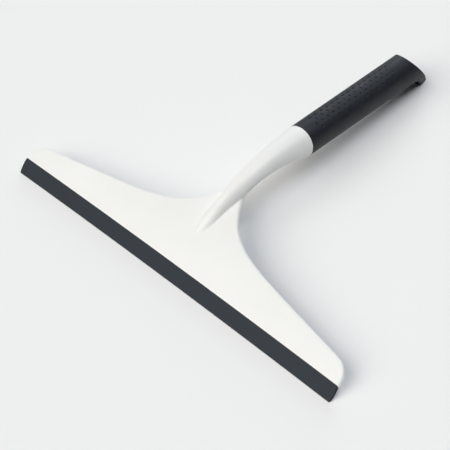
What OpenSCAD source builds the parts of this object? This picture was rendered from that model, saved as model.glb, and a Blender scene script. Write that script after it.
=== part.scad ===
// Window cleaning squeegee. An arched head runs into a round neck and a tang in one
// moulding. A rubber blade is moulded along the head's front edge, a soft sleeve covers
// the tang, and an end cap with a hanging lip plugs into the tang's end.
// Millimetres, +Z up. The squeegee lies as it does on a table, on the blade's edge and
// on the lip of the end cap. +X runs along the blade and +Y from the blade to the
// handle's end. The origin is on the table, under the middle of the outer box.

/* [Blade] */
// Width of the head and of the blade
head_w = 250; // [220:5:280]
// Length of blade that shows below the head's front edge
blade_l = 10.52; // [9.5:0.1:12]
// Angle between the blade and the table
blade_a = 51.8; // [48:0.5:56]
// Thickness of the blade where it leaves the head
blade_t = 2.2; // [1.8:0.1:2.4]
// Length of the blade's flat edge on the table, across the blade
edge_t = 1.3; // [0.8:0.1:1.6]
// Distance from the head's front edge to the line where the blade flexes
flex_l = 2.6; // [2.4:0.1:3.2]
// Gap between the two halves of the flex line
flex_gap = 0.06; // [0.03:0.01:0.08]
// Depth of the blade's root inside the head
root_l = 5; // [4:0.5:6]
// Thickness of the blade's root
root_t = 1; // [0.8:0.1:1.2]
// Radius of the bead that locks the root
bead_r = 0.8; // [0.7:0.05:0.9]

/* [Head] */
// Wall thickness of the head
wall_t = 3; // [2.8:0.1:3.6]
// Slope of the head's top at its front edge
head_slope = 0.48; // [0.4:0.01:0.52]
// How fast that slope falls, per millimetre towards the neck
head_bow = 0.0065; // [0.005:0.0005:0.0075]
// Where the line of the wings' rear edges meets the middle of the head
wing_y = 37.5; // [34:0.5:40]
// Taper of the wings' rear edges
wing_taper = 0.164; // [0.12:0.004:0.2]
// Height of the web that runs from the wings up the neck
web_h = 39.5; // [37:0.5:41]
// Length over which that web fades into the wings
web_fade = 12.9; // [12:0.1:14]
// Radius of the wings' ends
tip_r = 12; // [9:0.5:13]

/* [Neck] */
// Distance from the blade's edge to the point of the neck's ridge on the head
ridge_y = 27; // [25:0.5:30]
// Distance from the blade's edge to the neck's highest point
peak_y = 93; // [90:0.5:96]
// Height of the neck's highest point
peak_z = 37.4; // [36.5:0.1:38]
// Half width of the ridge on the head
ridge_w = 4.7; // [4:0.1:5.2]
// Radius of the neck at its thinnest
neck_r = 6.2; // [5.6:0.1:6.6]

/* [Grip] */
// Distance from the blade's edge to the seam between neck and grip
seam_y = 118.8; // [116:0.2:121]
// Fall of the grip's axis per millimetre of length
grip_fall = 0.0882; // [0.08:0.002:0.095]
// Radius of the grip at the seam
grip_r = 10.5; // [10:0.1:11]
// Radius of the grip at its far end
grip_end_r = 10.9; // [10.5:0.1:11.2]
// Length of the soft sleeve
sleeve_l = 90; // [80:1:95]
// Radius of the tang inside the sleeve
tang_r = 7.9; // [7:0.1:8.2]
// Radius of the hollow in the tang
tang_bore_r = 5.5; // [5:0.1:5.8]
// Depth of that hollow
tang_bore_l = 60; // [30:1:70]
// Height of the two keys that stop the sleeve from turning
key_h = 1; // [0.8:0.1:1.4]
// Width of those keys
key_w = 3; // [2:0.5:4]

/* [End cap] */
// Length of the grip's axis from the seam to the slanted end
end_l = 110.6; // [107:0.2:113]
// Slant of the end, from square to the grip
end_slant = 40; // [36:1:42]
// Length of the plug in the tang
plug_l = 16; // [10:1:20]
// Radius of the lip's rounded edge
lip_r = 3.4; // [3:0.1:4.4]
// Radius of the hollow curve in front of the lip
hook_r = 2.5; // [1.5:0.25:3.5]
// Width of the lip where it rests
lip_w = 13; // [11:0.5:15]
// Length of the lip's flat foot along the handle
foot_l = 2.6; // [1.8:0.1:3]
// Length over which the cheeks swell out of the round part in front of the slanted end
cheek_l = 17; // [12:0.5:18]

/* [Hidden] */
$fn = 64;
fit_gap = 0.03;
seam_gap = 0.3;
over = 1;
root_lead = 0.3;
key_edge = 0.3;
key_side_gap = 0.2;
nose_short = 0.44;
cap_step = 0.1;
cheek_top = 4;
web_y = 50;
round_y = 74;
swell_y = 46;
flare_y = 72;
flare_even = 0.67;
point_l = 4.5;
point_lead = 0.2;
root_in = 5.6;
wall_in = 12;
outline_steps = 36;
tip_steps = 10;
profile_steps = 14;
ring_sides = 40;
ring_step = 2.9;

// The head's front edge and the directions of its top and of the blade, as [y, z]
front = blade_l * [cos(blade_a), sin(blade_a)];
head_dir = [1, head_slope] / norm([1, head_slope]);
head_in = [head_dir[1], -head_dir[0]];
blade_dir = -[cos(blade_a), sin(blade_a)];
blade_in = [sin(blade_a), -cos(blade_a)];
flex = front + flex_l * blade_dir + blade_t / 2 * blade_in;

// The grip's axis and its slanted end, as [y, z]
seam_slope_z = peak_z - grip_fall * (seam_y - peak_y) / 2;
seam = [seam_y, seam_slope_z - grip_r];
grip_a = atan(grip_fall);
axis_dir = [cos(grip_a), -sin(grip_a)];
end_point = seam + end_l * axis_dir;
end_dir = [sin(end_slant - grip_a), -cos(end_slant - grip_a)];
end_out = [-end_dir[1], end_dir[0]];

// The lip's rounded edge touches the slanted end and the table
lip_y = end_point[0] + ((end_point[1] - lip_r) * end_out[1] - lip_r) / end_out[0];
lip_in_y = lip_y - foot_l;
under_z = end_point[1] - grip_end_r;
cheek_y = end_point[0] - cheek_l;
cheek_z = end_point[1] + cheek_l * grip_fall - cheek_top;
cheek_w = 2 * sqrt(pow(grip_end_r, 2) - pow(cheek_top, 2)) - cap_step;
mid_y = (lip_y + lip_r) / 2;

// Smooth step from 0 at a to 1 at b
function ease(v, a, b) = let (t = min(1, max(0, (v - a) / (b - a)))) t * t * (3 - 2 * t);

// Top of the head and its slope at distance y from the blade's edge
function head_z(y) = front[1] + head_slope * (y - front[0]) - head_bow / 2 * pow(y - front[0], 2);
function head_tilt(y) = head_slope - head_bow * (y - front[0]);

// Rear edge of the wings at distance x from the middle, seen from above
function wing_edge(x) = wing_y - wing_taper * x + web_h * exp(-x / web_fade);

// Half width, top, middle and depth of the neck at distance y from the blade's edge
function flare(y) = let (t = max(0, (y - flare_y) / (seam_y - flare_y)))
    (grip_r - neck_r) * (flare_even * t + (1 - flare_even) * pow(t, 4));
function neck_w(y) = ridge_w * (1 - exp((ridge_y - point_lead - y) / point_l))
    + (neck_r - ridge_w) * ease(y, swell_y, flare_y) + flare(y);
top_bow = (peak_z - head_z(ridge_y)) / pow(peak_y - ridge_y, 2);
function neck_top(y) = y < peak_y
    ? peak_z - top_bow * pow(peak_y - y, 2)
    : peak_z - grip_fall / 2 * pow(y - peak_y, 2) / (seam_y - peak_y);
function neck_mid(y) = let (k = ease(y, web_y, round_y))
    (1 - k) * (head_z(y) - wall_t / 2) + k * (neck_top(y) - neck_w(y));
function neck_deep(y) = let (k = ease(y, web_y, round_y))
    (1 - k) * (wall_t / 2 - 0.2) + k * neck_w(y);

// One ring of the neck. The last rings lean over until they are square to the grip.
function neck_ring(y) = let (lean = grip_fall * ease(y, peak_y, seam_y))
    [for (i = [0:ring_sides - 1])
        let (a = 360 * i / ring_sides, s = sin(a))
        let (h = s * (s > 0 ? neck_top(y) - neck_mid(y) : neck_deep(y)))
        [neck_w(y) * cos(a), y + lean * h, neck_mid(y) + h]];

// Moves from the blade's edge to the middle of the outer box
module in_frame() {
    translate([0, -mid_y, 0]) children();
}

// Extrudes a [y, z] profile along the blade, over the width w
module along_blade(w) {
    rotate([90, 0, 90]) translate([0, 0, -w / 2]) linear_extrude(w) children();
}

// Turns Z to run along the grip's axis from the seam, with Y downwards
module along_grip() {
    translate([0, seam[0], seam[1]]) rotate([-90 - grip_a, 0, 0]) children();
}

// The head seen from above
module head_outline() {
    x1 = head_w / 2 - tip_r;
    lean = atan(wing_taper);
    tip_y = wing_edge(x1) - tip_r / cos(lean);
    rear = [for (i = [0:outline_steps])
        let (x = root_in + (x1 + tip_r * sin(lean) - root_in) * pow(i / outline_steps, 1.5))
        [x, wing_edge(x)]];
    tip = [for (i = [1:tip_steps])
        let (a = (90 - lean) * (1 - i / tip_steps))
        [x1 + tip_r * cos(a), tip_y + tip_r * sin(a)]];
    half = concat(rear, tip, [[head_w / 2, 0]]);
    left = [for (i = [len(half) - 1:-1:0]) [-half[i][0], half[i][1]]];
    polygon(concat(half, left));
}

// The arched wall that the head is cut from
module head_wall() {
    back = wing_edge(0) - wall_in;
    ys = [for (i = [0:profile_steps]) front[0] + (back - front[0]) * i / profile_steps];
    upper = [for (y = ys) [y, head_z(y)]];
    lower = [for (i = [profile_steps:-1:0])
        let (y = ys[i], t = atan(head_tilt(y)))
        [y + wall_t * sin(t), head_z(y) - wall_t * cos(t)]];
    along_blade(head_w + 2 * over) polygon(concat(upper, lower));
}

module head() {
    intersection() {
        head_wall();
        linear_extrude(peak_z) head_outline();
    }
}

// Root of the blade inside the head: a tongue and a bead, larger by g all round,
// that starts a distance lead in front of the head's edge
module root_shape(g, lead) {
    mouth = front + wall_t / 2 * head_in;
    bead = mouth + root_l * head_dir;
    side = (root_t / 2 + g) * head_in;
    start = mouth - lead * head_dir;
    along_blade(head_w + 2 * over) union() {
        polygon([start - side, bead - side, bead + side, start + side]);
        translate(bead) circle(r = bead_r + g);
    }
}

module neck() {
    rings = ceil((seam_y - ridge_y) / ring_step);
    pts = [for (k = [0:rings]) each neck_ring(ridge_y + (seam_y - ridge_y) * k / rings)];
    sides = [for (k = [0:rings - 1], i = [0:ring_sides - 1])
        let (j = (i + 1) % ring_sides, a = k * ring_sides, b = a + ring_sides)
        [a + i, a + j, b + j, b + i]];
    first = [for (i = [ring_sides - 1:-1:0]) i];
    last = [for (i = [0:ring_sides - 1]) rings * ring_sides + i];
    polyhedron(points = pts, faces = concat(sides, [first, last]));
}

module tang() {
    difference() {
        union() {
            translate([0, 0, -over]) cylinder(r = tang_r, h = sleeve_l + over);
            for (side = [0, 180]) rotate(side) keys(0);
        }
        translate([0, 0, sleeve_l - tang_bore_l])
            cylinder(r = tang_bore_r, h = tang_bore_l + over);
    }
}

// One key on the side of the tang, larger by g all round
module keys(g) {
    translate([tang_r - over, -key_w / 2 - g, -over])
        cube([over + key_h + g, key_w + 2 * g, sleeve_l + over - key_edge + g]);
}

module body() {
    color("whitesmoke") in_frame() {
        difference() {
            head();
            root_shape(fit_gap, over);
        }
        neck();
        along_grip() tang();
    }
}

module blade_root() {
    nose_l = flex_l - nose_short;
    depth = blade_t / cos(blade_a - atan(head_slope));
    color("dimgray") in_frame() difference() {
        union() {
            intersection() {
                root_shape(0, root_lead);
                linear_extrude(peak_z) head_outline();
            }
            along_blade(head_w) polygon([
                front,
                front + nose_l * blade_dir,
                front + nose_l * blade_dir + blade_t * blade_in,
                front + depth * head_in
            ]);
        }
        along_blade(head_w + 2 * over) translate(flex) circle(r = blade_t / 2 + flex_gap);
    }
}

module blade_lip() {
    color("dimgray") in_frame() along_blade(head_w) union() {
        translate(flex) circle(r = blade_t / 2);
        polygon([
            flex - blade_t / 2 * blade_in,
            [0, 0],
            [edge_t, 0],
            flex + blade_t / 2 * blade_in
        ]);
    }
}

module grip_sleeve() {
    sleeve_end_r = grip_r + (grip_end_r - grip_r) * sleeve_l / end_l;
    color("darkslategray") in_frame() along_grip() difference() {
        cylinder(r1 = grip_r, r2 = sleeve_end_r, h = sleeve_l);
        translate([0, 0, -over]) cylinder(r = tang_r + fit_gap, h = sleeve_l + 2 * over);
        for (side = [0, 180]) rotate(side) keys(key_side_gap);
    }
}

// Side view of the cap: the slanted end, turned round the lip's edge onto the table
module cap_side() {
    lip_mid = [lip_y, lip_r];
    top = end_point - 3 * grip_r * end_dir;
    polygon([top, lip_mid + lip_r * end_out, [lip_y, 0], [seam[0], 0], [seam[0], top[1]]]);
    translate(lip_mid) circle(r = lip_r);
}

// Side view of what is added under the cap: the cheeks that swell out of the round part,
// and the lip with its small hollow curve in front
module lip_side() {
    corner = [lip_in_y - hook_r, under_z];
    difference() {
        polygon([
            [cheek_y, end_point[1]],
            [cheek_y, cheek_z],
            corner,
            [corner[0], 0],
            [end_point[0] + end_l, 0],
            end_point
        ]);
        translate(corner - [0, hook_r]) circle(r = hook_r);
        translate([corner[0] - over, -over]) square([hook_r + over, under_z - hook_r + over]);
    }
}

module lip_block() {
    intersection() {
        along_grip() linear_extrude(2 * end_l) polygon([
            [-cheek_w / 2, cheek_top],
            [cheek_w / 2, cheek_top],
            [lip_w / 2, end_point[1] + over],
            [-lip_w / 2, end_point[1] + over]
        ]);
        along_blade(4 * grip_r) lip_side();
    }
}

module end_cap() {
    color("darkslategray") in_frame() {
        intersection() {
            union() {
                along_grip() translate([0, 0, sleeve_l + seam_gap])
                    cylinder(r1 = grip_end_r - cap_step, r2 = grip_end_r, h = end_l);
                lip_block();
            }
            along_blade(4 * grip_r) cap_side();
        }
        along_grip() translate([0, 0, sleeve_l - plug_l])
            cylinder(r = tang_bore_r - fit_gap, h = plug_l + 2 * seam_gap);
    }
}

body();
blade_root();
blade_lip();
grip_sleeve();
end_cap();
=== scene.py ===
import math

import bpy
import numpy as np
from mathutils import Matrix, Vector


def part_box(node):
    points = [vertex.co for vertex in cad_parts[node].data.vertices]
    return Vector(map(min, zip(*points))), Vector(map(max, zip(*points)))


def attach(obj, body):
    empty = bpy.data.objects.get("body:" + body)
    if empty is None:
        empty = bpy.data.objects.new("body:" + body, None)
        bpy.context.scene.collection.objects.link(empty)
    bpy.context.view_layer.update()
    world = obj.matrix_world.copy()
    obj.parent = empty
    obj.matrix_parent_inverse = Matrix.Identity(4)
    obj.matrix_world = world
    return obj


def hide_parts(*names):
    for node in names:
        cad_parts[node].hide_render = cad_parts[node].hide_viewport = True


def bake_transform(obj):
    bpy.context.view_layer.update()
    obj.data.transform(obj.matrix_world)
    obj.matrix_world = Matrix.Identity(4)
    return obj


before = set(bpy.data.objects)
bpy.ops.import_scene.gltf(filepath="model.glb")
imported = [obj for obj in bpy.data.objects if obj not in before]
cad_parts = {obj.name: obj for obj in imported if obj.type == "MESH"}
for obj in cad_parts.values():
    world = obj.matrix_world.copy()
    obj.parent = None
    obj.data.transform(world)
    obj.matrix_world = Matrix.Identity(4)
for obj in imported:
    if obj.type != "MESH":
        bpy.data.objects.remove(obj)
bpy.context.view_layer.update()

# Window cleaning squeegee. Sizes are in millimetres and points are in the edge frame: X along
# the blade, Y from the blade's edge to the end of the handle, Z up from the table. to_row()
# moves them to the row's frame in metres.

MM = 0.001
EDGE_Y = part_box("blade_lip")[0].y / MM

# Blade
HALF_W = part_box("body")[1].x / MM  # half the width of blade and head
BLADE_L = 10.52  # from the table to the head
BLADE_A = math.radians(51.8)  # from the table
BLADE_T = 2.2  # thickness at the head
EDGE_T = 1.3  # width of the flat edge on the table
FLEX_L = 2.6  # from the head to the line where the blade bends

# Head: a slab with a curved top, and wings that taper towards their ends
FRONT = np.array([BLADE_L * math.cos(BLADE_A), BLADE_L * math.sin(BLADE_A)])
HEAD_SLOPE = 0.48  # slope of the top at its front edge
HEAD_BOW = 0.0065  # fall of that slope per millimetre
HEAD_DIR = np.array([1, HEAD_SLOPE]) / math.hypot(1, HEAD_SLOPE)
WALL = 3.0
WING_Y = 37.5  # where the wings' rear edges would meet in the middle
WING_TAPER = 0.164
WEB_H = 39.5  # how far the web between the wings reaches back along the neck
WEB_FADE = 12.9  # distance from the middle over which the web fades
TIP_R = 12.0  # radius of the wings' ends, seen from above
EDGE_R = 2.2  # rounding of the top's edges
UNDER_EDGE_R = 0.5  # rounding of the underside's edges
EDGE_GROW = 0.6  # how far the outline stands out before it is rounded
FRONT_R = 0.3  # rounding of the front edge, where the blade comes out

# Neck: a ridge on the head that grows into a round neck
PEAK_Y = 93.0  # highest point
PEAK_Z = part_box("body")[1].z / MM
RIDGE_Y = 27.0  # point of the ridge
RIDGE_W = 4.7  # half width of the ridge
NECK_R = 6.2  # radius of the neck where it is thinnest
POINT_L = 4.5  # length over which the ridge's point widens
POINT_LEAD = 0.2  # how far before RIDGE_Y that point would be sharp
WEB_Y = 50.0  # the ridge lifts off the head from here on
ROUND_Y = 74.0  # and is a round neck here
SWELL_Y = 46.0  # the ridge widens from here
FLARE_Y = 72.0  # the neck flares from here towards the grip
FLARE_EVEN = 0.67  # share of that flare that is straight
FILLET = 1.1  # between ridge and head
SEAM_R = 0.25
SEAM_LAP = 0.12  # how far the neck reaches past the seam

# Grip
SEAM_Y = 118.8  # seam between neck and sleeve
GRIP_FALL = 0.0882  # fall of the axis per millimetre
GRIP_R = 10.5  # at the seam
GRIP_END_R = 10.9  # at the slanted end
SLEEVE_L = 90.0
END_L = 110.6  # from the seam to the slanted end, along the axis
END_SLANT = math.radians(40)  # from square to the grip
TANG_R = 7.9
TANG_BORE_R = 5.5
TANG_BORE_L = 60.0
PLUG_L = 16.0

# End cap
LIP_R = 2.4  # rounding of the lip where it turns under
LIP_W = 15.0
FOOT_L = 2.6  # length of the lip's foot
HOOK_R = 2.5  # radius of the hollow in front of the lip
CHEEK_L = 5.0  # from the start of the cheeks to the slanted end, at the axis
CAP_GAP = 0.03


def to_row(points):
    """Points of the edge frame, in millimetres, as points of the row's frame, in metres."""
    return (np.asarray(points, float) + [0, EDGE_Y, 0]) * MM


# ---- Shapes given by a field: a function that is negative inside the solid ----


def ease(v, a, b):
    """Smooth step from 0 at a to 1 at b."""
    t = np.clip((v - a) / (b - a), 0, 1)
    return t * t * (3 - 2 * t)


def smooth_min(a, b, k):
    """Union of two solids with a fillet of about size k."""
    h = np.maximum(k - np.abs(a - b), 0) / k
    return np.minimum(a, b) - h * h * k / 4


def round_max(a, b, r):
    """Intersection of two solids, with radius r on the edge between them."""
    corner = np.hypot(np.maximum(a + r, 0), np.maximum(b + r, 0))
    return np.minimum(np.maximum(a, b), -r) + corner


SETTLE_ROUNDS = 5
LONGEST_MOVE = 0.3
LEAST_SLOPE = 0.25  # of the field, squared


def surface_net(field, xs, ys, zs):
    """Closed mesh where the field is 0, on a grid of planes. Returns points, quads and normals."""
    axes = (xs, ys, zs)
    value = field(*np.meshgrid(*axes, indexing="ij", sparse=True))
    cells, points, quads = [], [], []
    for axis in range(3):
        near = value[tuple(slice(0, -1) if d == axis else slice(None) for d in range(3))]
        far = value[tuple(slice(1, None) if d == axis else slice(None) for d in range(3))]
        hit = np.argwhere((near < 0) != (far < 0))
        a, b = near[tuple(hit.T)], far[tuple(hit.T)]
        point = np.stack([axes[d][hit[:, d]] for d in range(3)], 1)
        gap = axes[axis][hit[:, axis] + 1] - axes[axis][hit[:, axis]]
        point[:, axis] += gap * a / (a - b)
        around = []
        for u, v in ((-1, -1), (0, -1), (0, 0), (-1, 0)):
            cell = hit.copy()
            cell[:, (axis + 1) % 3] += u
            cell[:, (axis + 2) % 3] += v
            around.append(np.ravel_multi_index(cell.T, value.shape))
        quad = np.stack(around, 1)
        quads.append(np.where(a[:, None] < 0, quad, quad[:, ::-1]))
        cells.append(quad.ravel())
        points.append(np.repeat(point, 4, 0))
    names, first = np.unique(np.concatenate(cells), return_inverse=True)
    points = np.concatenate(points)
    count = np.bincount(first)
    vertices = np.stack([np.bincount(first, points[:, d]) / count for d in range(3)], 1)
    faces = np.searchsorted(names, np.concatenate(quads))
    # The points settle onto the surface in a few steps along the field's slope
    for _ in range(SETTLE_ROUNDS):
        slope = gradient(field, vertices)
        move = field(*vertices.T) / np.maximum((slope**2).sum(1), LEAST_SLOPE)
        vertices -= np.clip(move, -LONGEST_MOVE, LONGEST_MOVE)[:, None] * slope
    normals = gradient(field, vertices)
    return vertices, faces, normals / np.linalg.norm(normals, axis=1)[:, None]


def gradient(field, points, h=0.02):
    """Gradient of the field at each point."""
    sides = [(field(*(points + h * e).T), field(*(points - h * e).T)) for e in np.eye(3)]
    return np.stack([(a - b) / (2 * h) for a, b in sides], 1)


def area_normals(mesh):
    """A normal for each vertex, the mean of its faces' normals weighted by their areas."""
    vertex = np.empty(len(mesh.loops), int)
    mesh.loops.foreach_get("vertex_index", vertex)
    corners, area = np.empty(len(mesh.polygons), int), np.empty(len(mesh.polygons))
    normal = np.empty((len(mesh.polygons), 3))
    mesh.polygons.foreach_get("loop_total", corners)
    mesh.polygons.foreach_get("area", area)
    mesh.polygons.foreach_get("normal", normal.ravel())
    weighted = np.repeat(normal * area[:, None], corners, 0)
    total = np.stack([np.bincount(vertex, weighted[:, d]) for d in range(3)], 1)
    return total / np.linalg.norm(total, axis=1)[:, None]


def mesh_object(name, vertices, faces, normals=None):
    """Smooth mesh object made of points in the edge frame."""
    mesh = bpy.data.meshes.new(name)
    mesh.from_pydata(to_row(vertices).tolist(), [], [list(face) for face in faces])
    mesh.polygons.foreach_set("use_smooth", [True] * len(mesh.polygons))
    mesh.update()
    normals = area_normals(mesh) if normals is None else normals
    mesh.normals_split_custom_set_from_vertices(normals.tolist())
    thing = bpy.data.objects.new(name, mesh)
    bpy.context.scene.collection.objects.link(thing)
    return thing


def steps(*parts):
    """Grid planes. Each part is (start, end, step), and the parts follow each other."""
    rows = [np.linspace(a, b, max(2, round((b - a) / s) + 1)) for a, b, s in parts]
    return np.unique(np.round(np.concatenate(rows), 6))


# ---- Body: arched head, ridge and neck ----


def head_top(y):
    """Height of the head's top at distance y from the blade's edge."""
    u = y - FRONT[0]
    return FRONT[1] + HEAD_SLOPE * u - HEAD_BOW / 2 * u**2


def wing_edge(x):
    """Rear edge of the wings at distance x from the middle, seen from above."""
    return WING_Y - WING_TAPER * x + WEB_H * np.exp(-x / WEB_FADE)


WING_LEAN = math.atan(WING_TAPER)
TIP_X = HALF_W - TIP_R
TIP_Y = wing_edge(TIP_X) - TIP_R / math.cos(WING_LEAN)


def head_field(x, y, z):
    """The head: below its top, above its underside, inside its outline, behind its front edge."""
    x = np.abs(x)
    slope = HEAD_SLOPE - HEAD_BOW * (y - FRONT[0])
    above = (z - head_top(y)) / np.hypot(1, slope)
    rear_slope = WING_TAPER + WEB_H / WEB_FADE * np.exp(-x / WEB_FADE)
    rear = (y - wing_edge(x)) / np.hypot(1, rear_slope)
    tip = np.hypot(x - TIP_X, y - TIP_Y) - TIP_R
    outward = (x - TIP_X) * math.cos(WING_LEAN) - (y - TIP_Y) * math.sin(WING_LEAN)
    outline = np.where((outward > 0) & (y > TIP_Y), tip, np.maximum(rear, x - HALF_W))
    top = round_max(above, outline - EDGE_GROW, EDGE_R)
    front = -(y - FRONT[0]) * HEAD_DIR[0] - (z - FRONT[1]) * HEAD_DIR[1]
    return round_max(round_max(top, -above - WALL, UNDER_EDGE_R), front, FRONT_R)


TOP_BOW = (PEAK_Z - head_top(RIDGE_Y)) / (PEAK_Y - RIDGE_Y) ** 2
LEAST_HALF = 0.05  # the ridge never gets narrower or lower than these
LEAST_UP = 0.3
BURIED = 0.2  # how far the ridge's underside stays above the head's
TINY = 1e-6


def neck_half(y):
    """Half width of the neck."""
    flare = np.maximum(0, (y - FLARE_Y) / (SEAM_Y - FLARE_Y))
    point = 1 - np.exp((RIDGE_Y - POINT_LEAD - y) / POINT_L)
    grown = (NECK_R - RIDGE_W) * ease(y, SWELL_Y, FLARE_Y)
    wide = (GRIP_R - NECK_R) * (FLARE_EVEN * flare + (1 - FLARE_EVEN) * flare**4)
    return np.maximum(RIDGE_W * point + grown + wide, LEAST_HALF)


def neck_top(y):
    """Height of the neck's top line."""
    before = PEAK_Z - TOP_BOW * (PEAK_Y - y) ** 2
    after = PEAK_Z - GRIP_FALL / 2 * (y - PEAK_Y) ** 2 / (SEAM_Y - PEAK_Y)
    return np.where(y < PEAK_Y, before, after)


def neck_middle(y):
    """Height of the neck's widest line."""
    k = ease(y, WEB_Y, ROUND_Y)
    return (1 - k) * (head_top(y) - WALL / 2) + k * (neck_top(y) - neck_half(y))


def neck_field(x, y, z):
    """Ridge and neck: ellipses round the widest line, square to the grip's axis at the seam."""
    start = y
    y = y - GRIP_FALL * ease(y, PEAK_Y, SEAM_Y) * (z - neck_middle(y))
    k = ease(y, WEB_Y, ROUND_Y)
    half = neck_half(y)
    h = z - neck_middle(y)
    up = np.maximum(neck_top(y) - neck_middle(y), LEAST_UP)
    down = (1 - k) * (WALL / 2 - BURIED) + k * half
    deep = np.where(h > 0, up, down)
    radial = np.hypot(x / half, h / deep)
    slope = np.hypot(x / half**2, h / deep**2)
    skin = (radial - 1) * (radial + TINY) / (slope + TINY / half)
    return np.maximum(skin, RIDGE_Y - start)


SEAM = np.array([SEAM_Y, PEAK_Z - GRIP_FALL * (SEAM_Y - PEAK_Y) / 2 - GRIP_R])
GRIP_A = math.atan(GRIP_FALL)
AXIS = np.array([math.cos(GRIP_A), -math.sin(GRIP_A)])


def along(y, z):
    """Distance along the grip's axis, from the seam."""
    return (y - SEAM[0]) * AXIS[0] + (z - SEAM[1]) * AXIS[1]


def across(y, z):
    """Distance over the grip's axis."""
    return (z - SEAM[1]) * AXIS[0] - (y - SEAM[0]) * AXIS[1]


def body_field(x, y, z):
    """Head and neck with a fillet between them, cut off square at the seam."""
    joined = smooth_min(head_field(x, y, z), neck_field(x, y, z), FILLET)
    return round_max(joined, along(y, z) - SEAM_LAP, SEAM_R)


BOW = 1.1  # how far the middle of the blade stands back
BOW_FADE_Y = 45.0  # the head is straight from here on
TIP_ZONE = 14  # the grid is fine this far in from the wings' ends
NECK_ZONE = 24  # and this far out from the middle
FINE = 0.4
COARSE = 0.8
Y_STEP = 0.45


def bowed(points):
    """The blade and the head's front edge, set back by BOW at their middle."""
    share = np.clip(1 - (points[:, 0] / HALF_W) ** 2, 0, 1)
    moved = np.array(points, dtype=float)
    moved[:, 1] += BOW * share * (1 - ease(moved[:, 1], FRONT[0], BOW_FADE_Y))
    return moved


def body_skin():
    """The moulded body up to the seam. The tang is a piece of its own."""
    margin, front_margin, seam_margin = 1, 1.3, 2
    edge = HALF_W + margin
    xs = steps(
        (-edge, -edge + TIP_ZONE, FINE),
        (-edge + TIP_ZONE, -NECK_ZONE, COARSE),
        (-NECK_ZONE, NECK_ZONE, FINE),
        (NECK_ZONE, edge - TIP_ZONE, COARSE),
        (edge - TIP_ZONE, edge, FINE),
    )
    ys = steps((FRONT[0] - front_margin, SEAM_Y + seam_margin, Y_STEP))
    zs = steps((FRONT[1] - WALL - margin, PEAK_Z + margin, FINE))
    points, faces, normals = surface_net(body_field, xs, ys, zs)
    return mesh_object("body_skin", bowed(points), faces, normals)


# ---- Turned shapes on the grip's axis ----

ROUND = np.radians(np.arange(0, 360, 6))
CORE = 0.01  # radius that stands for the axis in a profile


def grip_point(radius, angle, distance):
    """Point at a radius, an angle from the top towards +X and a distance along the axis."""
    x = radius * np.sin(angle)
    up = radius * np.cos(angle)
    y = SEAM[0] + distance * AXIS[0] - up * AXIS[1]
    z = SEAM[1] + distance * AXIS[1] + up * AXIS[0]
    return np.stack([x, y, z], -1)


def turned(name, profile, angles, shape=None):
    """Turns a closed loop of (radius, distance) round the axis. shape adds to the radius."""
    profile = np.array(profile, float)
    radius, distance = np.broadcast_arrays(profile[:, 0][:, None], profile[:, 1][:, None])
    radius = np.repeat(radius, len(angles), 1)
    distance = np.repeat(distance, len(angles), 1)
    angle = np.broadcast_to(angles, radius.shape)
    if shape is not None:
        radius = radius + shape(radius, angle, distance)
    points = grip_point(radius, angle, distance)
    rows, columns = radius.shape
    index = np.arange(rows * columns).reshape(rows, columns)
    next_row = np.roll(index, -1, 0)
    quads = np.stack([index, np.roll(index, -1, 1), np.roll(next_row, -1, 1), next_row], -1)
    return mesh_object(name, points.reshape(-1, 3), quads.reshape(-1, 4))


def arc(centre, radius, start, end, count):
    """Points on an arc, angles in degrees."""
    turns = np.radians(np.linspace(start, end, count))
    return [(centre[0] + radius * math.cos(t), centre[1] + radius * math.sin(t)) for t in turns]


# ---- Tang and sleeve ----


def tang():
    """The body's tang inside the sleeve, with the hollow for the end cap's plug."""
    round_off = 0.4
    tip = arc((TANG_R - round_off, SLEEVE_L - round_off), round_off, 0, 90, 5)
    profile = [(CORE, -1), (TANG_R, -1), *tip, (TANG_BORE_R, SLEEVE_L)]
    profile += [(TANG_BORE_R, SLEEVE_L - TANG_BORE_L), (CORE, SLEEVE_L - TANG_BORE_L)]
    return turned("tang", profile, ROUND)


DIMPLE_PITCH = 5.32  # from one dimple to the next in its row
DIMPLE_TURN = math.radians(18)  # from one row to the next
DIMPLE_R = 0.95
DIMPLE_FLOOR = 0.15  # share of that radius that is flat
DIMPLE_DEEP = 0.5
DIMPLE_START = 10.85  # from the seam to the first dimple
DIMPLE_COUNT = 15  # in the longer rows
DIMPLE_SIDE_ROWS = 2  # on each side of the middle row
SLEEVE_GAP = 0.03


def dimples(radius, angle, distance):
    """Five staggered rows of round dimples along the top of the sleeve."""
    outside = radius > (GRIP_R + TANG_R) / 2
    row = np.round(angle / DIMPLE_TURN)
    between_rows = np.mod(row + 1, 2)
    column = np.round((distance - DIMPLE_START) / DIMPLE_PITCH - between_rows / 2)
    at = DIMPLE_START + (column + between_rows / 2) * DIMPLE_PITCH
    far = np.hypot(distance - at, (angle - row * DIMPLE_TURN) * radius)
    cut = outside & (np.abs(row) <= DIMPLE_SIDE_ROWS)
    cut &= (column >= 0) & (column + between_rows < DIMPLE_COUNT)
    depth = DIMPLE_DEEP * (1 - ease(far, DIMPLE_FLOOR * DIMPLE_R, DIMPLE_R))
    return -np.where(cut, depth, 0)


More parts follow.
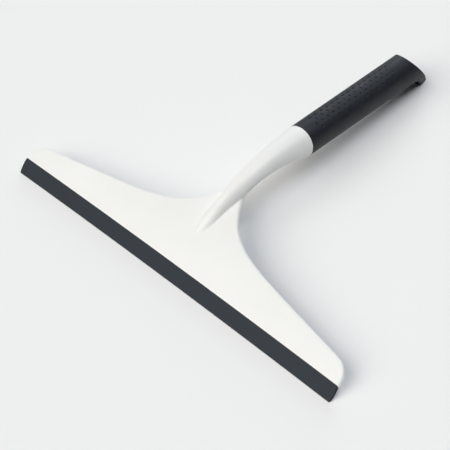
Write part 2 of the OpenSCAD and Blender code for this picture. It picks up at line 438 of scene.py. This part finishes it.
def grip_skin():
    """The sleeve: a tube, with more points where its dimples are."""
    fine_turn, plain_count, ring_count = 0.021, 34, 400
    side = (DIMPLE_SIDE_ROWS + 0.5) * DIMPLE_TURN
    dimpled = np.arange(-side, side, fine_turn)
    plain = np.linspace(side, 2 * math.pi - side, plain_count)[:-1]
    angles = np.concatenate([dimpled, plain])
    angles = np.where(angles > math.pi, angles - 2 * math.pi, angles)
    edge, back_edge, inner = 0.35, 0.12, TANG_R + SLEEVE_GAP
    end_r = GRIP_R + (GRIP_END_R - GRIP_R) * SLEEVE_L / END_L
    distances = np.linspace(edge, SLEEVE_L - back_edge, ring_count)
    outer = [(GRIP_R + (end_r - GRIP_R) * d / SLEEVE_L, d) for d in distances]
    front = arc((GRIP_R - edge, edge), edge, 270, 350, 6)
    back = arc((end_r - back_edge, SLEEVE_L - back_edge), back_edge, 10, 90, 4)
    profile = [(inner, 0), *front, *outer, *back, (inner, SLEEVE_L), (inner, SLEEVE_L / 2)]
    return turned("grip_skin", profile, angles, dimples)


# ---- End cap ----

END_POINT = SEAM + END_L * AXIS
END_TURN = END_SLANT - GRIP_A
END_OUT = np.array([math.cos(END_TURN), math.sin(END_TURN)])
LIP_Y = END_POINT[0] + ((END_POINT[1] - LIP_R) * END_OUT[1] - LIP_R) / END_OUT[0]
UNDER_Z = END_POINT[1] - GRIP_END_R
HOOK_Y = LIP_Y - FOOT_L - HOOK_R
CHEEK_UP = 4.0  # the cheeks' top is this far below the axis
CHEEK_Y = END_POINT[0] - CHEEK_L
CHEEK_Z = END_POINT[1] + CHEEK_L * GRIP_FALL - CHEEK_UP
CHEEK_HALF = math.sqrt(GRIP_END_R**2 - CHEEK_UP**2)
CHEEK_LEAN = math.atan2(CHEEK_HALF - LIP_W / 2, END_POINT[1] - CHEEK_UP)
UNDER_FALL = math.atan2(CHEEK_Z - UNDER_Z, HOOK_Y - CHEEK_Y)
CHEEK_R = 0.8
CHEEK_FADE = 3.0  # softens the cheeks' top edge
CAP_EDGE_R = 0.3  # rounding of the slanted end's rim
CAP_FILLET = 3.0
CAP_SEAM_R = 0.12
PLUG_GAP = 0.03
PLUG_CHAMFER = 0.5


def cap_field(x, y, z):
    """The cap: a round barrel with two cheeks and a lip below it, cut off at a slant."""
    x = np.abs(x)
    distance, up = along(y, z), across(y, z)
    barrel = np.hypot(x, up) - GRIP_R - (GRIP_END_R - GRIP_R) * distance / END_L
    # Cheeks and lip are one block below the axis. Its sides lean in towards the table
    side = (x - LIP_W / 2) * math.cos(CHEEK_LEAN) - z * math.sin(CHEEK_LEAN)
    under = (UNDER_Z - z) * math.cos(UNDER_FALL) - (y - HOOK_Y) * math.sin(UNDER_FALL)
    block = smooth_min(under, HOOK_Y + HOOK_R - y, 2 * HOOK_R)
    block = -smooth_min(-round_max(block, side, CHEEK_R), -up - CHEEK_UP, CHEEK_FADE)
    joined = smooth_min(barrel, block, CAP_FILLET)
    # The slanted end turns round the lip's edge onto the table
    over, rise = y - LIP_Y, z - LIP_R
    slant = (y - END_POINT[0]) * END_OUT[0] + (z - END_POINT[1]) * END_OUT[1]
    turn = (over > 0) & (over * END_OUT[1] - rise * END_OUT[0] > 0)
    rear = np.where(turn, np.hypot(over, rise) - LIP_R, np.maximum(slant, -z))
    closed = round_max(joined, rear, CAP_EDGE_R)
    return round_max(closed, SLEEVE_L + CAP_GAP - distance, CAP_SEAM_R)


def end_cap_skin():
    """The cap behind the sleeve, with its cheeks and lip."""
    step, margin = 0.35, 1
    xs = steps((-GRIP_END_R - margin, GRIP_END_R + margin, step))
    start = grip_point(GRIP_END_R, math.pi, SLEEVE_L)[1] - margin
    ys = steps((start, LIP_Y + LIP_R + margin, step))
    zs = steps((-margin, grip_point(GRIP_END_R + margin, 0, SLEEVE_L)[2], step))
    return mesh_object("end_cap_skin", *surface_net(cap_field, xs, ys, zs))


def cap_plug():
    """The plug that holds the cap in the tang."""
    plug_r = TANG_BORE_R - PLUG_GAP
    start = SLEEVE_L - PLUG_L
    profile = [(CORE, start), (plug_r - PLUG_CHAMFER, start), (plug_r, start + PLUG_CHAMFER)]
    profile += [(plug_r, SLEEVE_L + 1), (CORE, SLEEVE_L + 1)]
    return turned("cap_plug", profile, ROUND)


# ---- Blade ----

BLADE_EDGE_R = 0.16
BLADE_SHOULDER_R = 3.0  # the back of the blade turns towards its edge with this radius
BLADE_BACK_R = 0.3
HIDDEN_R = 0.05  # corners at the head and inside it
ROOT_IN = 0.35  # how far the strip reaches into the head
END_BULGE = 0.5  # how far the ends stand out at half the blade's width
BLADE_END_R = 0.9
END_MARGIN = 0.08  # share of the section's middle line that is left out at each end
CORNER_POINTS = 6
BLADE_DIR = -FRONT / BLADE_L
BLADE_IN = np.array([math.sin(BLADE_A), -math.cos(BLADE_A)])
FLEX = FRONT + FLEX_L * BLADE_DIR + BLADE_T / 2 * BLADE_IN


def rounded_loop(corners, radii, spacing):
    """Closed loop with rounded corners, and with no two points further apart than spacing."""
    loop = []
    count = len(corners)
    for i in range(count):
        before, here, after = corners[i - 1], corners[i], corners[(i + 1) % count]
        a = (before - here) / np.linalg.norm(before - here)
        b = (after - here) / np.linalg.norm(after - here)
        half = math.acos(np.clip(a @ b, -1, 1)) / 2
        reach = radii[i] / math.tan(half)
        centre = here + (a + b) / np.linalg.norm(a + b) * radii[i] / math.sin(half)
        start, end = here + a * reach - centre, here + b * reach - centre
        for t in np.linspace(0, 1, CORNER_POINTS):
            turn = (1 - t) * start + t * end
            loop.append(centre + turn / np.linalg.norm(turn) * radii[i])
    spaced = []
    for p, q in zip(loop, loop[1:] + loop[:1]):
        parts = max(1, math.ceil(np.linalg.norm(q - p) / spacing))
        spaced += [p + (q - p) * k / parts for k in range(parts)]
    return np.array(spaced)


def towards_middle(loop, start, end, share):
    """The loop, drawn in by a share towards the line from start to end."""
    line = end - start
    place = np.clip((loop - start) @ line / (line @ line), END_MARGIN, 1 - END_MARGIN)
    middle = start + place[:, None] * line
    return middle + (loop - middle) * (1 - share)


def blade_strip():
    """The whole visible blade: one section along X, with rings that round off its ends."""
    spacing, ring_count, place_count, last_turn = 0.6, 8, 141, 84
    into = ROOT_IN * HEAD_DIR
    depth = BLADE_T / math.cos(BLADE_A - math.atan(HEAD_SLOPE))
    head_in = np.array([HEAD_DIR[1], -HEAD_DIR[0]])
    back = FRONT + depth * head_in
    corners = [
        FRONT + into,
        FRONT,
        np.array([0.0, 0.0]),
        np.array([EDGE_T, 0.0]),
        FLEX + BLADE_T / 2 * BLADE_IN,
        back,
        back + into,
    ]
    radii = [HIDDEN_R, HIDDEN_R, BLADE_EDGE_R, BLADE_EDGE_R]
    radii += [BLADE_SHOULDER_R, BLADE_BACK_R, HIDDEN_R]
    loop = rounded_loop(corners, radii, spacing)
    middle_start, middle_end = (FRONT + back) / 2, np.array([EDGE_T / 2, 0])
    share = np.clip(((FRONT - loop) @ -BLADE_DIR) / BLADE_L, 0, 1)
    bulge = END_BULGE * 4 * share * (1 - share)
    turns = np.radians(np.linspace(0, last_turn, ring_count))
    ends = [(1 - math.cos(t), BLADE_END_R * (1 - math.sin(t))) for t in turns]
    places = np.linspace(-1, 1, place_count)[1:-1]
    rings = [(-1, drawn_in, reach) for drawn_in, reach in ends[::-1]]
    rings += [(place, 0, BLADE_END_R) for place in places]
    rings += [(1, drawn_in, reach) for drawn_in, reach in ends]
    points = []
    for place, drawn_in, reach in rings:
        section = towards_middle(loop, middle_start, middle_end, drawn_in)
        x = place * (HALF_W + bulge - reach)
        points.append(np.column_stack([np.broadcast_to(x, len(loop)), section]))
    count = len(loop)
    index = np.arange(len(rings) * count).reshape(len(rings), count)
    side = np.roll(index, -1, 1)
    quads = np.stack([index[:-1], side[:-1], side[1:], index[1:]], -1).reshape(-1, 4)
    faces = [*quads, index[0][::-1], index[-1]]
    return mesh_object("blade_strip", bowed(np.concatenate(points)), faces)


# ---- Materials ----

NOISE_LOW = 0.3  # nearly all of a noise lies between these two
NOISE_HIGH = 0.7
WHITE_DARK = (0.778, 0.781, 0.768)
WHITE_LIGHT = (0.802, 0.805, 0.792)


def shader(name, roughness, specular):
    """New node material. Returns it with its tree, its shader and its coordinates in metres."""
    made = bpy.data.materials.new(name)
    made.use_nodes = True
    nodes = made.node_tree.nodes
    main = nodes["Principled BSDF"]
    main.inputs["Roughness"].default_value = roughness
    main.inputs["Specular IOR Level"].default_value = specular
    place = nodes.new("ShaderNodeTexCoord").outputs["Object"]
    return made, made.node_tree, main, place


def noise(tree, place, per_metre, detail):
    """Noise with that many cells in a metre, and detail as the number of its finer layers."""
    node = tree.nodes.new("ShaderNodeTexNoise")
    node.inputs["Scale"].default_value = per_metre
    node.inputs["Detail"].default_value = detail
    tree.links.new(place, node.inputs["Vector"])
    return node.outputs["Fac"]


def ramp(tree, value, *stops):
    """Colour ramp over (position, colour) stops. Returns its colour."""
    node = tree.nodes.new("ShaderNodeValToRGB")
    elements = node.color_ramp.elements
    while len(elements) < len(stops):
        elements.new(0.5)
    for element, (position, colour) in zip(elements, stops):
        element.position = position
        element.color = (*colour, 1)
    tree.links.new(value, node.inputs["Fac"])
    return node.outputs["Color"]


def clouding(tree, noise_value, dark, light):
    """Colour that goes from dark to light with a noise."""
    return ramp(tree, noise_value, (NOISE_LOW, dark), (NOISE_HIGH, light))


def between(tree, noise_value, low, high):
    """A noise, mapped onto low to high."""
    node = tree.nodes.new("ShaderNodeMapRange")
    node.inputs["From Min"].default_value = NOISE_LOW
    node.inputs["From Max"].default_value = NOISE_HIGH
    node.inputs["To Min"].default_value = low
    node.inputs["To Max"].default_value = high
    tree.links.new(noise_value, node.inputs["Value"])
    return node.outputs["Result"]


def bump(tree, main, height, depth, strength):
    """Bump of a depth in metres."""
    node = tree.nodes.new("ShaderNodeBump")
    node.inputs["Distance"].default_value = depth
    node.inputs["Strength"].default_value = strength
    tree.links.new(height, node.inputs["Height"])
    tree.links.new(node.outputs["Normal"], main.inputs["Normal"])


def white_plastic():
    """Satin plastic with faint clouding and a very fine grain, which lets a little light in."""
    made, tree, main, place = shader("white_plastic", 0.42, 0.45)
    clouds = noise(tree, place, 28, 4)
    grain = noise(tree, place, 2600, 2)
    colour = clouding(tree, clouds, WHITE_DARK, WHITE_LIGHT)
    tree.links.new(colour, main.inputs["Base Color"])
    tree.links.new(between(tree, clouds, 0.38, 0.46), main.inputs["Roughness"])
    bump(tree, main, grain, 0.04 * MM, 0.25)
    main.inputs["Subsurface Weight"].default_value = 0.08
    main.inputs["Subsurface Radius"].default_value = (4 * MM, 4 * MM, 3.5 * MM)
    return made


def soft_rubber(name, dark, light, grain_size, grain_depth):
    """Matte elastomer with a grain of a size and depth in millimetres, and faint clouding."""
    roughness, spread = 0.5, 0.05
    made, tree, main, place = shader(name, roughness, 0.3)
    clouds = noise(tree, place, 90, 5)
    grain = noise(tree, place, 1 / (grain_size * MM), 3)
    tree.links.new(clouding(tree, clouds, dark, light), main.inputs["Base Color"])
    rough = between(tree, clouds, roughness - spread, roughness + spread)
    tree.links.new(rough, main.inputs["Roughness"])
    bump(tree, main, grain, grain_depth * MM, 0.6)
    return made


# ---- The object ----

BLADE_RUBBER = soft_rubber(
    "blade_rubber", (0.0095, 0.0155, 0.024), (0.0125, 0.0195, 0.029), 0.6, 0.03
)
GRIP_RUBBER = soft_rubber(
    "grip_rubber", (0.0055, 0.0083, 0.0122), (0.0075, 0.0108, 0.0152), 0.5, 0.05
)
CAP_PLASTIC = soft_rubber(
    "cap_plastic", (0.0055, 0.008, 0.012), (0.0072, 0.01, 0.0145), 0.8, 0.02
)
WHITE = white_plastic()

for piece, material, slot, node in (
    (body_skin(), WHITE, "white_plastic", "body"),
    (tang(), WHITE, "white_plastic", "body"),
    (grip_skin(), GRIP_RUBBER, "grip_rubber", "grip_sleeve"),
    (end_cap_skin(), CAP_PLASTIC, "cap_plastic", "end_cap"),
    (cap_plug(), CAP_PLASTIC, "cap_plastic", "end_cap"),
    (blade_strip(), BLADE_RUBBER, "blade_rubber", "blade_root"),
):
    piece.data.materials.append(material)
    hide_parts(node)
    if piece.name == "blade_strip":
        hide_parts("blade_lip")
        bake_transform(piece)
    else:
        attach(piece, "handle")

for node, material in (
    ("body", WHITE),
    ("blade_root", BLADE_RUBBER),
    ("blade_lip", BLADE_RUBBER),
    ("grip_sleeve", GRIP_RUBBER),
    ("end_cap", CAP_PLASTIC),
):
    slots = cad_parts[node].data.materials
    slots.clear()
    slots.append(material)

# ---- Table, light and camera ----

TABLE_SIZE = 12  # this and TABLE_DROP are in metres
TABLE_DROP = 0.0001
TABLE_DARK = (0.8, 0.8, 0.8)
TABLE_LIGHT = (0.805, 0.805, 0.805)
PALE_TOP = 0.02  # sine of the elevation where the pale part of the room ends
DIM_START = 0.07  # sine of the elevation where the dim part starts
AZIMUTH = math.radians(43.085)
ELEVATION = math.radians(48.291)
DISTANCE = 788.57
TARGET = np.array([-2.451, 55.055, 0])
LENS = 105.557
SENSOR = 36


def table():
    """Plain pale table just below the blade's edge. It is not part of the object."""
    bpy.ops.mesh.primitive_plane_add(size=TABLE_SIZE, location=(0, 0, -TABLE_DROP))
    thing = bpy.context.object
    thing.name = "table"
    made, tree, main, place = shader("table_top", 0.9, 0.1)
    colour = clouding(tree, noise(tree, place, 3, 2), TABLE_DARK, TABLE_LIGHT)
    tree.links.new(colour, main.inputs["Base Color"])
    thing.data.materials.append(made)
    return thing


def sun(name, toward, strength, spread, colour):
    """Distant light in the direction toward. spread is its width in degrees, for soft shadows."""
    light = bpy.data.lights.new(name, "SUN")
    light.energy = strength
    light.angle = math.radians(spread)
    light.color = colour
    thing = bpy.data.objects.new(name, light)
    thing.rotation_euler = Vector(toward).to_track_quat("Z", "Y").to_euler()
    bpy.context.scene.collection.objects.link(thing)
    return thing


def room(pale, dim):
    """Pale surroundings low down, and hardly any light from higher up besides the suns."""
    world = bpy.data.worlds.new("room")
    world.use_nodes = True
    tree = world.node_tree
    toward = tree.nodes.new("ShaderNodeTexCoord").outputs["Generated"]
    split = tree.nodes.new("ShaderNodeSeparateXYZ")
    tree.links.new(toward, split.inputs["Vector"])
    colour = ramp(tree, split.outputs["Z"], (PALE_TOP, pale), (DIM_START, dim))
    tree.links.new(colour, tree.nodes["Background"].inputs["Color"])
    bpy.context.scene.world = world


def camera():
    """Camera at DISTANCE from TARGET, AZIMUTH from the front and ELEVATION above the table."""
    back = np.array(
        [
            math.sin(AZIMUTH) * math.cos(ELEVATION),
            -math.cos(AZIMUTH) * math.cos(ELEVATION),
            math.sin(ELEVATION),
        ]
    )
    lens = bpy.data.cameras.new("camera")
    lens.lens = LENS
    lens.sensor_width = SENSOR
    lens.clip_start = 0.01
    thing = bpy.data.objects.new("camera", lens)
    thing.location = to_row(TARGET + DISTANCE * back)
    thing.rotation_euler = Vector(back).to_track_quat("Z", "Y").to_euler()
    bpy.context.scene.collection.objects.link(thing)
    bpy.context.scene.camera = thing


table()
sun("front", (-0.2, -0.71, 0.675), 2.58, 52, (1.035, 1, 0.945))
sun("rear", (0.203, 0.352, 0.914), 1.37, 34, (0.95, 1, 1.06))
sun("left", (-0.47, 0.814, 0.342), 0.84, 34, (0.95, 1, 1.06))
room((0.84, 0.84, 0.84), (0.027, 0.028, 0.03))
camera()
bpy.context.scene.view_settings.view_transform = "Standard"
